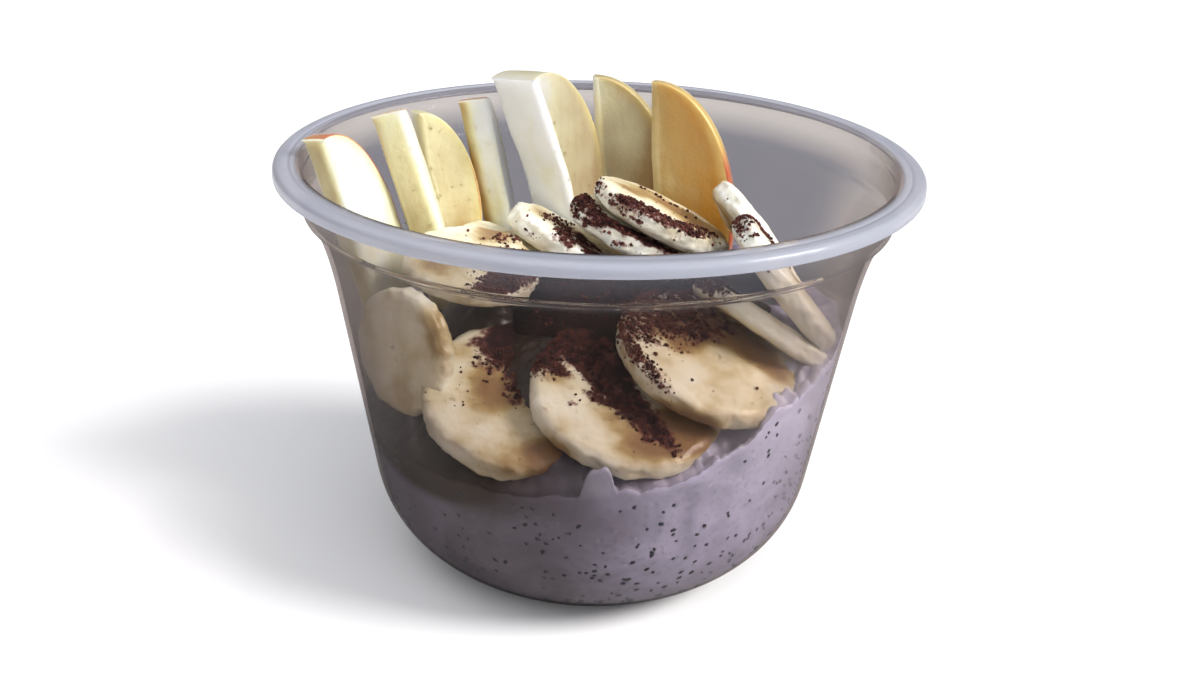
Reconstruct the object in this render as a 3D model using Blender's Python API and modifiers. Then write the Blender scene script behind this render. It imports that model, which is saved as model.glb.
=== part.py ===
"""Overnight oats with chia in a clear flared dessert cup, topped with banana, apple and cacao powder.

Lengths below are in millimetres and the mesh is in metres. Z is up, the cup stands on z = 0 and the
cup's axis is the Z axis. The front of the cup, which the banana slices face, looks along -Y.
"""
import math

import bmesh
import bpy
from mathutils import Matrix, Vector, noise

MM = 0.001
GAP = 0.3                   # air between pieces that touch

# Cup
RIM_RADIUS = 59.0
CUP_HEIGHT = 80.0
WALL = 0.8
FOOT_RADIUS = 27.9
FOOT_RING = 6.0             # width of the flat ring that the cup stands on
FOOT_RECESS = 0.8
CORNER_HEIGHT = 19.0
CORNER_CONTROL = (41.0, 6.4)
BODY_LOW_RADIUS = 43.0
BODY_TOP = 54.0
BODY_TOP_RADIUS = 48.6
FLARE_CONTROL = (50.3, 65.5)
STEP_LOW = 70.6
STEP_LOW_RADIUS = 53.0
STEP_HIGH = 71.3
STEP_HIGH_RADIUS = 54.2
COLLAR_RADIUS = 55.0
SEAT_DEPTH = 2.5            # the lid seat inside the rim
SEAT_LEDGE = 0.4
RIM_ROUND = 1.1
RIM_ROUND_STEPS = 2
SKIRT_DROP = 2.3
FOOT_SLOPE = 2.0            # width of the slope from the foot ring up to the raised floor, inside
FOOT_STEP = 0.1             # rise of the floor over the inside of its ring
FOOT_SLOPE_UNDER = 1.5
SEAT_BEVEL = 0.3            # small bevels of the lid seat, the rim's inner edge and its underside
LIP_BEVEL = 0.2
SKIRT_BEVEL = 0.4
COLLAR_BEVEL = 0.5
CORNER_STEPS = 6
FLARE_STEPS = 4
CUP_STEPS = 56

# Oats
OATS_STEPS = 56
OATS_TOP_RINGS = 11
OATS_WALL_LEVELS = (         # direction round the cup in degrees, height where the oats meet the wall
    (-180, 33.0), (-150, 30.5), (-120, 31.5), (-90, 32.5), (-70, 34.5), (-56, 40.0), (-42, 45.5),
    (-26, 48.0), (0, 49.5), (45, 49.5), (90, 48.0), (135, 42.0),
)
OATS_CROWN = 53.0
OATS_CROWN_PLACE = (8.0, 12.0)
OATS_SWELL_PLACE = (-24.0, -3.0)    # a rise under the slice behind the front left ones
OATS_SWELL_RADIUS = 11.5
OATS_SWELL = 7.5
OATS_SIDE_TOP = 29.0        # up to here the side follows the cup ring by ring
OATS_REACH_LEVEL = 38.0     # height whose wall radius counts as the full reach from the middle
OATS_CROWN_REACH = 45.0
OATS_CROWN_FALL = 5.0       # how much the crown falls over that reach
OATS_EDGE_POWER = 2.6       # how late the top turns towards its level at the wall
OATS_RIPPLE = 0.7
OATS_RIPPLE_SCALE = 0.11
OATS_RIPPLE_LAYER = 3.7
OATS_RAISE = 0.1            # keeps the side's rings just above the cup's

# Banana slices: name, middle (x, y, z), lean of the axis from upright, direction it leans to,
# radius, thickness, how oval
BANANAS = (
    ("banana_front_1", (-33.8, -20.2, 48.0), 86, -127, 11.4, 4.4, 0.04),
    ("banana_front_2", (-13.7, -24.0, 40.7), 21, -71, 17.2, 5.8, 0.03),
    ("banana_front_3", (5.8, -27.0, 43.6), 22, -71, 17.4, 4.8, 0.03),
    ("banana_front_4", (20.0, -21.3, 49.3), 22, -44, 16.9, 4.8, 0.03),
    ("banana_right_1", (30.4, -11.0, 51.6), 38, 28, 14.6, 4.4, 0.03),
    ("banana_right_2", (33.8, -12.4, 60.3), 52, 6, 13.7, 4.8, 0.03),
    ("banana_right_3", (32.4, 14.0, 57.5), 56, 14, 14.6, 4.8, 0.03),
    ("banana_back_1", (-23.4, -4.2, 58.8), 9, -52, 12.6, 4.6, 0.03),
    ("banana_back_2", (-15.0, 15.0, 53.6), 23, 26, 13.4, 5.2, 0.03),
    ("banana_back_3", (-5.4, 16.0, 56.0), 30, 19, 13.8, 5.2, 0.03),
    ("banana_back_4", (7.5, 14.5, 58.8), 27, 17, 14.0, 5.0, 0.03),
    ("banana_back_5", (12.4, 14.5, 62.9), 26, 15, 14.2, 4.8, 0.03),
)
BANANA_SIDES = 32
BANANA_ROUND = 0.6
BANANA_THREE_SIDED = 0.012  # swell of the three sides of a banana, as a share of its radius

# Soft slices that another one is pressed into: the one that gives way, the one that presses
PRESSED = (
    ("banana_front_4", "banana_right_1"),
    ("banana_right_1", "banana_right_2"),
    ("banana_right_2", "banana_right_3"),
    ("banana_back_2", "banana_back_1"),
    ("banana_back_2", "banana_back_3"),
    ("banana_back_2", "apple_3"),
    ("banana_back_3", "apple_5"),
    ("banana_front_1", "banana_front_2"),
)

# Apple slices: name, top of the straight cut edge (x, y, z), lean back, turn about the upright,
# tilt in its own plane, length, depth, thickness
APPLES = (
    ("apple_1", (-51.0, -9.0, 83.0), 8, 70, -14, 49.5, 15.8, 4.7),
    ("apple_2", (-39.5, 3.5, 85.0), 14, 96, -8, 50.0, 10.6, 6.5),
    ("apple_3", (-37.4, 21.3, 81.0), 4, 27, -5, 41.0, 11.2, 4.4),
    ("apple_4", (-26.0, 23.8, 83.0), 9, 88, -8, 50.0, 12.4, 6.0),
    ("apple_5", (-18.0, 21.0, 88.0), 5, 60, -20, 45.0, 16.8, 10.2),
    ("apple_6", (-2.2, 45.2, 84.0), 4, -6, -4, 55.0, 17.4, 4.0),
    ("apple_7", (10.4, 39.2, 84.6), 6, -12, -3, 58.0, 17.8, 4.4),
)
APPLE_ARC_POINTS = 15
APPLE_ROUND = 0.5
APPLE_EDGE_ANGLE = 50       # edges sharper than this are rounded

# Cacao heap
HEAP_CENTRE = (6.0, -3.0)
HEAP_REACH = (25.0, 14.0)
HEAP_TOP = 57.5
HEAP_EDGE_LIFT = 0.7        # how far its underside stays off the oats
HEAP_FALL = 3.0             # how much its dome falls from the middle to the edge
HEAP_LUMP = 0.8
HEAP_LUMP_SCALE = 0.25
HEAP_LUMP_LAYER = 9.1
HEAP_LEAST = 0.8            # least thickness
HEAP_WANDER = (0.08, 0.05)  # waves of its edge, three and seven round
HEAP_RINGS = 6
HEAP_STEPS = 30

SMOOTH_ANGLE = 35           # edges gentler than this are shaded smooth


def clear_scene():
    for obj in list(bpy.data.objects):
        bpy.data.objects.remove(obj, do_unlink=True)


def new_collection(name):
    collection = bpy.data.collections.new(name)
    bpy.context.scene.collection.children.link(collection)
    return collection


def food_material(name, color, roughness, transmission=0.0):
    material = bpy.data.materials.new(name)
    material.use_nodes = True
    shader = material.node_tree.nodes["Principled BSDF"]
    shader.inputs["Base Color"].default_value = (*color, 1.0)
    shader.inputs["Roughness"].default_value = roughness
    shader.inputs["Metallic"].default_value = 0.0
    shader.inputs["Transmission Weight"].default_value = transmission
    return material


def add_object(name, mesh, material, collection):
    obj = bpy.data.objects.new(name, mesh)
    obj.data.materials.append(material)
    collection.objects.link(obj)
    return obj


def mesh_from(bm, name):
    """The bmesh as a mesh, scaled to metres and shaded smooth over its gentle edges."""
    bmesh.ops.recalc_face_normals(bm, faces=bm.faces)
    bmesh.ops.scale(bm, vec=(MM, MM, MM), verts=bm.verts)
    mesh = bpy.data.meshes.new(name)
    bm.to_mesh(mesh)
    bm.free()
    mesh.shade_smooth()
    mesh.set_sharp_from_angle(angle=math.radians(SMOOTH_ANGLE))
    return mesh


def bezier(start, control, end, steps):
    """Points of a curve from start to end, without its first point."""
    points = []
    for i in range(1, steps + 1):
        t = i / steps
        points.append(tuple(
            (1 - t) ** 2 * a + 2 * t * (1 - t) * b + t * t * c
            for a, b, c in zip(start, control, end)
        ))
    return points


def cup_outside():
    """The outer wall as (radius, height) points, from the foot up to the collar."""
    foot = (FOOT_RADIUS, 0.0)
    points = [foot]
    points += bezier(foot, CORNER_CONTROL, (BODY_LOW_RADIUS, CORNER_HEIGHT), CORNER_STEPS)
    points += [((BODY_LOW_RADIUS + BODY_TOP_RADIUS) / 2, (CORNER_HEIGHT + BODY_TOP) / 2)]
    points += [(BODY_TOP_RADIUS, BODY_TOP)]
    points += bezier(
        (BODY_TOP_RADIUS, BODY_TOP), FLARE_CONTROL, (STEP_LOW_RADIUS, STEP_LOW), FLARE_STEPS,
    )
    points += [(STEP_HIGH_RADIUS, STEP_HIGH)]
    return points


def wall_radius(height):
    """Radius of the cup's inner wall at a height."""
    points = cup_outside() + [(COLLAR_RADIUS, CUP_HEIGHT)]
    for (r0, z0), (r1, z1) in zip(points, points[1:]):
        if z0 <= height <= z1:
            return r0 + (r1 - r0) * (height - z0) / (z1 - z0) - WALL
    return FOOT_RADIUS - WALL


def inward(points):
    """The same line moved in by the wall's thickness, square to the line."""
    moved = []
    for i, (r, z) in enumerate(points):
        before = points[max(i - 1, 0)]
        after = points[min(i + 1, len(points) - 1)]
        along = Vector((after[0] - before[0], after[1] - before[1])).normalized()
        moved.append((r - along.y * WALL, z + along.x * WALL))
    return moved


def cup_profile():
    """The cup's section from the middle of its floor, up inside, over the rim and down outside."""
    outside = cup_outside()
    inside = inward(outside)
    floor = FOOT_RECESS + WALL
    seat_radius = COLLAR_RADIUS - WALL
    foot_edge = FOOT_RADIUS - FOOT_RING
    section = [(0.0, floor), (foot_edge - FOOT_SLOPE, floor), (foot_edge, WALL + FOOT_STEP)]
    section += inside[1:]
    section += [
        (seat_radius - SEAT_LEDGE, CUP_HEIGHT - SEAT_DEPTH - SEAT_BEVEL),
        (seat_radius, CUP_HEIGHT - SEAT_DEPTH),
        (seat_radius, CUP_HEIGHT - LIP_BEVEL),
        (seat_radius + LIP_BEVEL, CUP_HEIGHT),
        (RIM_RADIUS - RIM_ROUND, CUP_HEIGHT),
    ]
    for i in range(1, RIM_ROUND_STEPS + 1):
        turn = math.radians(90 * (1 - i / RIM_ROUND_STEPS))
        section.append((
            RIM_RADIUS - RIM_ROUND + RIM_ROUND * math.cos(turn),
            CUP_HEIGHT - RIM_ROUND + RIM_ROUND * math.sin(turn),
        ))
    section += [
        (RIM_RADIUS, CUP_HEIGHT - SKIRT_DROP),
        (RIM_RADIUS - WALL, CUP_HEIGHT - SKIRT_DROP),
        (RIM_RADIUS - WALL, CUP_HEIGHT - WALL - SKIRT_BEVEL),
        (RIM_RADIUS - WALL - SKIRT_BEVEL, CUP_HEIGHT - WALL),
        (COLLAR_RADIUS + COLLAR_BEVEL, CUP_HEIGHT - WALL),
        (COLLAR_RADIUS, CUP_HEIGHT - WALL - COLLAR_BEVEL),
        (COLLAR_RADIUS, CUP_HEIGHT - SEAT_DEPTH),
    ]
    section += list(reversed(outside))
    section += [
        (foot_edge, 0.0),
        (foot_edge - FOOT_SLOPE_UNDER, FOOT_RECESS),
        (0.0, FOOT_RECESS),
    ]
    return section


def build_cup(collection):
    """The clear cup: a profile turned by a Screw modifier."""
    mesh = bpy.data.meshes.new("cup")
    section = [(r * MM, 0.0, z * MM) for r, z in cup_profile()]
    mesh.from_pydata(section, [(i, i + 1) for i in range(len(section) - 1)], [])
    plastic = food_material("clear_plastic", (0.92, 0.94, 0.97), 0.08, transmission=1.0)
    cup = add_object("cup", mesh, plastic, collection)
    screw = cup.modifiers.new("Turn", "SCREW")
    screw.axis = "Z"
    screw.angle = math.tau
    screw.steps = CUP_STEPS
    screw.render_steps = CUP_STEPS
    screw.use_merge_vertices = True
    screw.merge_threshold = 0.00001
    screw.use_smooth_shade = True
    return cup


def wall_level(x, y):
    """Height at which the oats meet the wall, in the direction of a point."""
    turn = math.degrees(math.atan2(y, x))
    levels = OATS_WALL_LEVELS + ((180, OATS_WALL_LEVELS[0][1]),)
    for (a0, h0), (a1, h1) in zip(levels, levels[1:]):
        if a0 <= turn <= a1:
            share = (turn - a0) / (a1 - a0)
            smooth = share * share * (3 - 2 * share)
            return h0 + (h1 - h0) * smooth
    return levels[0][1]


def oats_height(x, y):
    """The uneven top of the oats: from the wall up to a crown behind the middle."""
    reach = min(math.hypot(x, y) / wall_radius(OATS_REACH_LEVEL), 1.0)
    level = wall_level(x, y)
    away = math.hypot(x - OATS_CROWN_PLACE[0], y - OATS_CROWN_PLACE[1]) / OATS_CROWN_REACH
    crown = OATS_CROWN - OATS_CROWN_FALL * away * away
    blend = reach ** OATS_EDGE_POWER
    place = Vector((x * OATS_RIPPLE_SCALE, y * OATS_RIPPLE_SCALE, OATS_RIPPLE_LAYER))
    ripple = OATS_RIPPLE * noise.noise(place)
    off = math.hypot(x - OATS_SWELL_PLACE[0], y - OATS_SWELL_PLACE[1]) / OATS_SWELL_RADIUS
    swell = OATS_SWELL * max(0.0, 1 - off * off) ** 2
    return level * blend + (crown + ripple) * (1 - blend) + swell


def press_in(obj, cutters):
    """Takes the places of the fruit slices out of what they lie in."""
    press = obj.modifiers.new("Press", "BOOLEAN")
    press.operation = "DIFFERENCE"
    press.operand_type = "COLLECTION"
    press.collection = cutters
    press.solver = "EXACT"


def press_slices(cutters):
    """Lets the soft slices give way where another one leans into them."""
    for soft, presser in PRESSED:
        dent = bpy.data.objects[soft].modifiers.new("Dent", "BOOLEAN")
        dent.operation = "DIFFERENCE"
        dent.object = cutters.objects[presser + "_cutter"]
        dent.solver = "EXACT"


def build_oats(collection, cutters):
    """The pudding of oats and chia, out to the wall, with the slices' places pressed into its top."""
    bm = bmesh.new()
    bottom = FOOT_RECESS + WALL + GAP
    side = [point for point in inward(cup_outside())[2:] if point[1] < OATS_SIDE_TOP]
    rings = [(FOOT_RADIUS / 2, bottom), (FOOT_RADIUS - FOOT_SLOPE, bottom + OATS_RAISE)]
    rings += [(r - GAP, z + OATS_RAISE) for r, z in side]
    turns = [math.tau * i / OATS_STEPS for i in range(OATS_STEPS)]
    rows = []
    for r, z in rings:
        rows.append([bm.verts.new((r * math.cos(a), r * math.sin(a), z)) for a in turns])
    for i in range(OATS_TOP_RINGS):
        share = 1 - i / OATS_TOP_RINGS
        row = []
        for a in turns:
            level = wall_level(math.cos(a), math.sin(a))
            r = (wall_radius(level) - GAP) * share
            x = r * math.cos(a)
            y = r * math.sin(a)
            row.append(bm.verts.new((x, y, level if i == 0 else oats_height(x, y))))
        rows.append(row)
    for low, high in zip(rows, rows[1:]):
        for i in range(OATS_STEPS):
            j = (i + 1) % OATS_STEPS
            bm.faces.new((low[i], low[j], high[j], high[i]))
    floor_middle = bm.verts.new((0, 0, bottom))
    top_middle = bm.verts.new((0, 0, oats_height(0, 0)))
    for i in range(OATS_STEPS):
        j = (i + 1) % OATS_STEPS
        bm.faces.new((floor_middle, rows[0][j], rows[0][i]))
        bm.faces.new((top_middle, rows[-1][i], rows[-1][j]))
    pudding = food_material("oats_and_chia", (0.35, 0.29, 0.31), 0.45)
    oats = add_object("oats", mesh_from(bm, "oats"), pudding, collection)
    press_in(oats, cutters)
    return oats


def axis_turn(lean, direction):
    """Rotation that leans the Z axis by lean degrees towards a direction."""
    turn = Matrix.Rotation(math.radians(direction), 4, "Z")
    return turn @ Matrix.Rotation(math.radians(lean), 4, "Y")


def banana_mesh(name, radius, thickness, oval, grow=0.0):
    """A round slice, slightly oval and three-sided, with rounded edges."""
    bm = bmesh.new()
    bmesh.ops.create_cone(
        bm, cap_ends=True, segments=BANANA_SIDES, radius1=radius + grow, radius2=radius + grow,
        depth=thickness + 2 * grow,
    )
    for vert in bm.verts:
        turn = math.atan2(vert.co.y, vert.co.x)
        three_sided = BANANA_THREE_SIDED * math.cos(3 * turn + radius)
        swell = 1 + oval * math.cos(2 * turn) + three_sided
        vert.co.x *= swell
        vert.co.y *= swell
    rims = [edge for edge in bm.edges if edge.verts[0].co.z * edge.verts[1].co.z > 0]
    bmesh.ops.bevel(
        bm, geom=rims, offset=BANANA_ROUND, offset_type="OFFSET", segments=1, profile=0.5,
        affect="EDGES", material=-1,
    )
    return mesh_from(bm, name)


def build_bananas(collection, cutters):
    flesh = food_material("banana_flesh", (0.78, 0.68, 0.48), 0.4)
    for name, middle, lean, direction, radius, thickness, oval in BANANAS:
        place = Matrix.Translation(Vector(middle) * MM) @ axis_turn(lean, direction)
        mesh = banana_mesh(name, radius, thickness, oval)
        add_object(name, mesh, flesh, collection).matrix_world = place
        grown = banana_mesh(name + "_cutter", radius, thickness, oval, GAP)
        add_cutter(name + "_cutter", grown, place, cutters)


def add_cutter(name, mesh, place, cutters):
    obj = bpy.data.objects.new(name, mesh)
    obj.matrix_world = place
    obj.hide_render = True
    obj.display_type = "WIRE"
    cutters.objects.link(obj)


def apple_mesh(name, length, depth, thickness, grow=0.0):
    """A half-moon slice: the straight cut edge on Z from the top at 0 downwards, the skin out along X."""
    bm = bmesh.new()
    outline = []
    for i in range(APPLE_ARC_POINTS):
        turn = math.pi * i / (APPLE_ARC_POINTS - 1)
        outline.append((depth * math.sin(turn), -length / 2 + length / 2 * math.cos(turn)))
    verts = [bm.verts.new((0.0, -thickness / 2, 0.0))]
    verts += [bm.verts.new((x, -thickness / 2, z)) for x, z in outline[1:-1]]
    verts += [bm.verts.new((0.0, -thickness / 2, -length))]
    face = bm.faces.new(verts)
    made = bmesh.ops.extrude_face_region(bm, geom=[face])
    back = [item for item in made["geom"] if isinstance(item, bmesh.types.BMVert)]
    bmesh.ops.translate(bm, vec=(0, thickness, 0), verts=back)
    bmesh.ops.recalc_face_normals(bm, faces=bm.faces)
    if grow:
        bm.normal_update()
        moved = [vert.co + vert.normal * vert.calc_shell_factor() * grow for vert in bm.verts]
        for vert, place in zip(bm.verts, moved):
            vert.co = place
    else:
        rims = [edge for edge in bm.edges if edge.calc_face_angle(0) > math.radians(APPLE_EDGE_ANGLE)]
        bmesh.ops.bevel(
            bm, geom=rims, offset=APPLE_ROUND, offset_type="OFFSET", segments=1, profile=0.5,
            affect="EDGES", material=-1,
        )
    return mesh_from(bm, name)


def build_apples(collection, cutters):
    flesh = food_material("apple_flesh", (0.80, 0.74, 0.52), 0.3)
    for name, top, lean, turn, tilt, length, depth, thickness in APPLES:
        place = (
            Matrix.Translation(Vector(top) * MM)
            @ Matrix.Rotation(math.radians(turn), 4, "Z")
            @ Matrix.Rotation(math.radians(-lean), 4, "X")
            @ Matrix.Rotation(math.radians(tilt), 4, "Y")
        )
        mesh = apple_mesh(name, length, depth, thickness)
        add_object(name, mesh, flesh, collection).matrix_world = place
        grown = apple_mesh(name + "_cutter", length, depth, thickness, GAP)
        add_cutter(name + "_cutter", grown, place, cutters)


def heap_surface(x, y, reach):
    """Top of the powder: a low uneven dome that thins out towards its edge."""
    foot = oats_height(x, y) + HEAP_EDGE_LIFT
    lumps = HEAP_LUMP * noise.noise(Vector((x * HEAP_LUMP_SCALE, y * HEAP_LUMP_SCALE, HEAP_LUMP_LAYER)))
    dome = HEAP_TOP - HEAP_FALL * reach * reach + lumps
    return max(foot + HEAP_LEAST, foot + (dome - foot) * (1 - reach ** 4))


def build_heap(collection, cutters):
    """The cacao powder heaped in the dip between the front and the back slices."""
    bm = bmesh.new()
    tops = []
    feet = []
    for ring in range(1, HEAP_RINGS + 1):
        reach = ring / HEAP_RINGS
        top_row = []
        foot_row = []
        for i in range(HEAP_STEPS):
            turn = math.tau * i / HEAP_STEPS
            wander = 1 + HEAP_WANDER[0] * math.sin(3 * turn + 1.0) + HEAP_WANDER[1] * math.sin(7 * turn)
            x = HEAP_CENTRE[0] + HEAP_REACH[0] * reach * wander * math.cos(turn)
            y = HEAP_CENTRE[1] + HEAP_REACH[1] * reach * wander * math.sin(turn)
            top_row.append(bm.verts.new((x, y, heap_surface(x, y, reach))))
            foot_row.append(bm.verts.new((x, y, oats_height(x, y) + HEAP_EDGE_LIFT)))
        tops.append(top_row)
        feet.append(foot_row)
    x, y = HEAP_CENTRE
    top_middle = bm.verts.new((x, y, heap_surface(x, y, 0.0)))
    foot_middle = bm.verts.new((x, y, oats_height(x, y) + HEAP_EDGE_LIFT))
    for i in range(HEAP_STEPS):
        j = (i + 1) % HEAP_STEPS
        bm.faces.new((top_middle, tops[0][i], tops[0][j]))
        bm.faces.new((foot_middle, feet[0][j], feet[0][i]))
        bm.faces.new((tops[-1][i], feet[-1][i], feet[-1][j], tops[-1][j]))
        for low, high in zip(tops, tops[1:]):
            bm.faces.new((low[i], high[i], high[j], low[j]))
        for low, high in zip(feet, feet[1:]):
            bm.faces.new((low[i], low[j], high[j], high[i]))
    powder = food_material("cacao_powder", (0.05, 0.025, 0.022), 0.95)
    heap = add_object("cacao_heap", mesh_from(bm, "cacao_heap"), powder, collection)
    press_in(heap, cutters)
    return heap


def main():
    clear_scene()
    parts = new_collection("cacao_overnight_oats")
    cutters = new_collection("cutters")
    build_cup(parts)
    build_bananas(parts, cutters)
    build_apples(parts, cutters)
    press_slices(cutters)
    build_oats(parts, cutters)
    build_heap(parts, cutters)


main()
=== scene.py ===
import math

import bmesh
import bpy
import numpy as np
from mathutils import Matrix, Vector, noise
from mathutils.bvhtree import BVHTree


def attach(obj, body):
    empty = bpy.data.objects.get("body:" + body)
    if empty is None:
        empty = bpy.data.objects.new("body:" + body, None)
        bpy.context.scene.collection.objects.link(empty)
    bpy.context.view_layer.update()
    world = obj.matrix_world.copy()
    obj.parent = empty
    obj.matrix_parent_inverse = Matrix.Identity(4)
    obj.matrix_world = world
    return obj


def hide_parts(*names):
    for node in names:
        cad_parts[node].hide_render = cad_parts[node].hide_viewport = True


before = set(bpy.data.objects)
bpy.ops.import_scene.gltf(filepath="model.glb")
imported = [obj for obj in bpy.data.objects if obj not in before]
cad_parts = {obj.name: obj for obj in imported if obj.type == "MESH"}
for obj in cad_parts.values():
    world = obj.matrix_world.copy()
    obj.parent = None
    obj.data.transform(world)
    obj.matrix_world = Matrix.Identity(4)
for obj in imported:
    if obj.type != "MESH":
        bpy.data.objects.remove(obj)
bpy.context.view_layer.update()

# Lengths below are in millimetres and meshes are in metres. Z is up, the cup's axis is the Z axis
# and the front of the cup looks along -Y.
MM = 0.001

# Cup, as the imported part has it
RIM_RADIUS = 59.0
CUP_HEIGHT = 80.0
WALL = 0.8
FOOT_RADIUS = 27.9
FOOT_RING_RADIUS = FOOT_RADIUS - 6.0
FOOT_RECESS = 0.8
CORNER_HEIGHT = 19.0
CORNER_CONTROL = (41.0, 6.4)
BODY_LOW_RADIUS = 43.0
BODY_TOP = 54.0
BODY_TOP_RADIUS = 48.6
FLARE_CONTROL = (50.3, 65.5)
STEP_LOW = 70.6
STEP_LOW_RADIUS = 53.0
STEP_HIGH = 71.3
STEP_HIGH_RADIUS = 54.2
COLLAR_RADIUS = 55.0
SEAT_DEPTH = 2.5
SEAT_LEDGE = 0.4
RIM_ROUND = 1.1
RIM_SIDES = 6
SKIRT_DROP = 2.3
# A shallow groove in the rim's top: back from the rim's edge, down from its top
RIM_GROOVE = ((3.2, 0.0), (2.7, 0.25), (2.2, 0.0))
# Corners of the section are softened over this reach, and bends gentler than this stay as they are
CORNER_SOFTNESS = 0.35
GENTLE_BEND = math.radians(14)
CUP_STEPS = 168

# Oats: direction round the cup in degrees, height where the oats meet the wall
OATS_WALL_LEVELS = (
    (-180, 33.0), (-150, 30.5), (-120, 31.5), (-90, 32.5), (-70, 34.5), (-56, 40.0), (-42, 45.5),
    (-26, 48.0), (0, 49.5), (45, 49.5), (90, 48.0), (135, 42.0), (180, 33.0),
)
OATS_CROWN = 53.0
OATS_CROWN_PLACE = (8.0, 12.0)
OATS_CROWN_REACH = 45.0
OATS_CROWN_FALL = 5.0
OATS_SWELL_PLACE = (-24.0, -3.0)
OATS_SWELL_RADIUS = 11.5
OATS_SWELL = 7.5
OATS_STEPS = 480
OATS_WALL_ROWS = 30
OATS_TOP_ROWS = 84
OATS_INTO_WALL = 0.12
OATS_LOWEST = 1.75

# Directions round the cup, in degrees, and how wide: the froth squeezed up at the front right, the
# dip beside it and the narrow smear at the front
FROTH_TURN = -44.0
FROTH_SPREAD = 26.0
DIP_TURN = -57.0
SMEAR_TURN = -88.3

CHIA_SEEDS = 760
CHIA_SIZES = (0.95, 1.75)

# Banana slices: name, middle (x, y, z), lean of the axis from upright, direction it leans to,
# radius, thickness, how oval
BANANAS = (
    ("banana_front_1", (-33.8, -20.2, 48.0), 86, -127, 11.4, 4.4, 0.04),
    ("banana_front_2", (-13.7, -24.0, 40.7), 21, -71, 17.2, 5.8, 0.03),
    ("banana_front_3", (5.8, -27.0, 43.6), 22, -71, 17.4, 4.8, 0.03),
    ("banana_front_4", (20.0, -21.3, 49.3), 22, -44, 16.9, 4.8, 0.03),
    ("banana_right_1", (30.4, -11.0, 51.6), 38, 28, 14.6, 4.4, 0.03),
    ("banana_right_2", (33.8, -12.4, 60.3), 52, 6, 13.7, 4.8, 0.03),
    ("banana_right_3", (32.4, 14.0, 57.5), 56, 14, 14.6, 4.8, 0.03),
    ("banana_back_1", (-23.4, -4.2, 58.8), 9, -52, 12.6, 4.6, 0.03),
    ("banana_back_2", (-15.0, 15.0, 53.6), 23, 26, 13.4, 5.2, 0.03),
    ("banana_back_3", (-5.4, 16.0, 56.0), 30, 19, 13.8, 5.2, 0.03),
    ("banana_back_4", (7.5, 14.5, 58.8), 27, 17, 14.0, 5.0, 0.03),
    ("banana_back_5", (12.4, 14.5, 62.9), 26, 15, 14.2, 4.8, 0.03),
)
BANANA_STEPS = 128
BANANA_FACE_RINGS = 40
BANANA_BACK_RINGS = 12
BANANA_EDGE_SIDES = 7
BANANA_SIDE_ROWS = 5

# For each slice: how ripe it has turned, from 0 white to 1 tan, and how much of the powder it caught
BANANA_LOOKS = {
    "banana_front_1": (0.26, 1.0), "banana_front_2": (0.42, 1.0), "banana_front_3": (0.20, 1.0),
    "banana_front_4": (0.40, 0.62), "banana_right_1": (0.0, 0.7), "banana_right_2": (0.02, 0.7),
    "banana_right_3": (0.08, 0.6), "banana_back_1": (0.36, 0.8), "banana_back_2": (0.26, 0.85),
    "banana_back_3": (0.10, 0.9), "banana_back_4": (0.14, 0.9), "banana_back_5": (0.28, 0.8),
}

# Apple slices: name, top of the straight cut edge (x, y, z), lean back, turn about the upright,
# tilt in its own plane, length, depth, thickness
APPLES = (
    ("apple_1", (-51.0, -9.0, 83.0), 8, 70, -14, 49.5, 15.8, 4.7),
    ("apple_2", (-39.5, 3.5, 85.0), 14, 96, -8, 50.0, 10.6, 6.5),
    ("apple_3", (-37.4, 21.3, 81.0), 4, 27, -5, 41.0, 11.2, 4.4),
    ("apple_4", (-26.0, 23.8, 83.0), 9, 88, -8, 50.0, 12.4, 6.0),
    ("apple_5", (-18.0, 21.0, 88.0), 5, 60, -20, 45.0, 16.8, 10.2),
    ("apple_6", (-2.2, 45.2, 84.0), 4, -6, -4, 55.0, 17.4, 4.0),
    ("apple_7", (10.4, 39.2, 84.6), 6, -12, -3, 58.0, 17.8, 4.4),
)

# How far each dressed slice sits below its solid, so that its uneven faces stay under the solid's top
APPLE_SINK = 0.06
APPLE_ACROSS = 30
APPLE_ALONG = 90
APPLE_CUTS = 13
BEADS_ON_A_SLICE = 26
BEADS_LOW = 58.0 * MM
BEADS_HIGH = 79.0 * MM

# Tone of each apple slice, from 0 fresh to 1 deep amber: on the narrow cut edge, at the top of the
# face, at its foot, what is added towards the skin; then how far painted shade greys the face, how red
# the skin, how far across the cut edge its bright side reaches, and how bare of skin the top is. The
# cut edge's tone past its bright side is partly painted shade, and the fifth slice's white cut edge is
# partly a painted sheen
APPLE_TONES = {
    "apple_1": (0.36, 0.05, 0.12, 0.06, 0.04, 0.55, 0.15, 0.0),
    "apple_2": (0.36, 0.04, 0.08, 0.0, 0.1, 0.4, 0.15, 0.0),
    "apple_3": (0.34, 0.38, 0.42, 0.02, 0.12, 0.3, 0.15, 0.5),
    "apple_4": (0.55, 0.0, 0.06, 0.1, 0.0, 0.5, 0.62, 0.0),
    "apple_5": (0.0, 0.12, 0.60, 0.16, 0.50, 0.25, -0.5, 1.0),
    "apple_6": (0.0, 0.10, 0.78, 0.5, 0.34, 0.7, 0.2, 0.3),
    "apple_7": (0.45, 0.58, 0.76, 0.24, 0.0, 0.58, 0.0, 0.3),
}

# Cacao heap
HEAP_CENTRE = (6.0, -3.0)
HEAP_REACH = (25.0, 14.0)
HEAP_TOP = 57.5
HEAP_EDGE_LIFT = 0.7
HEAP_RINGS = 60
HEAP_STEPS = 150
MOST_CRUMBS = 8000
CRUMB_TRIES = 90000
ABOVE_ALL = 95.0

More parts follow.
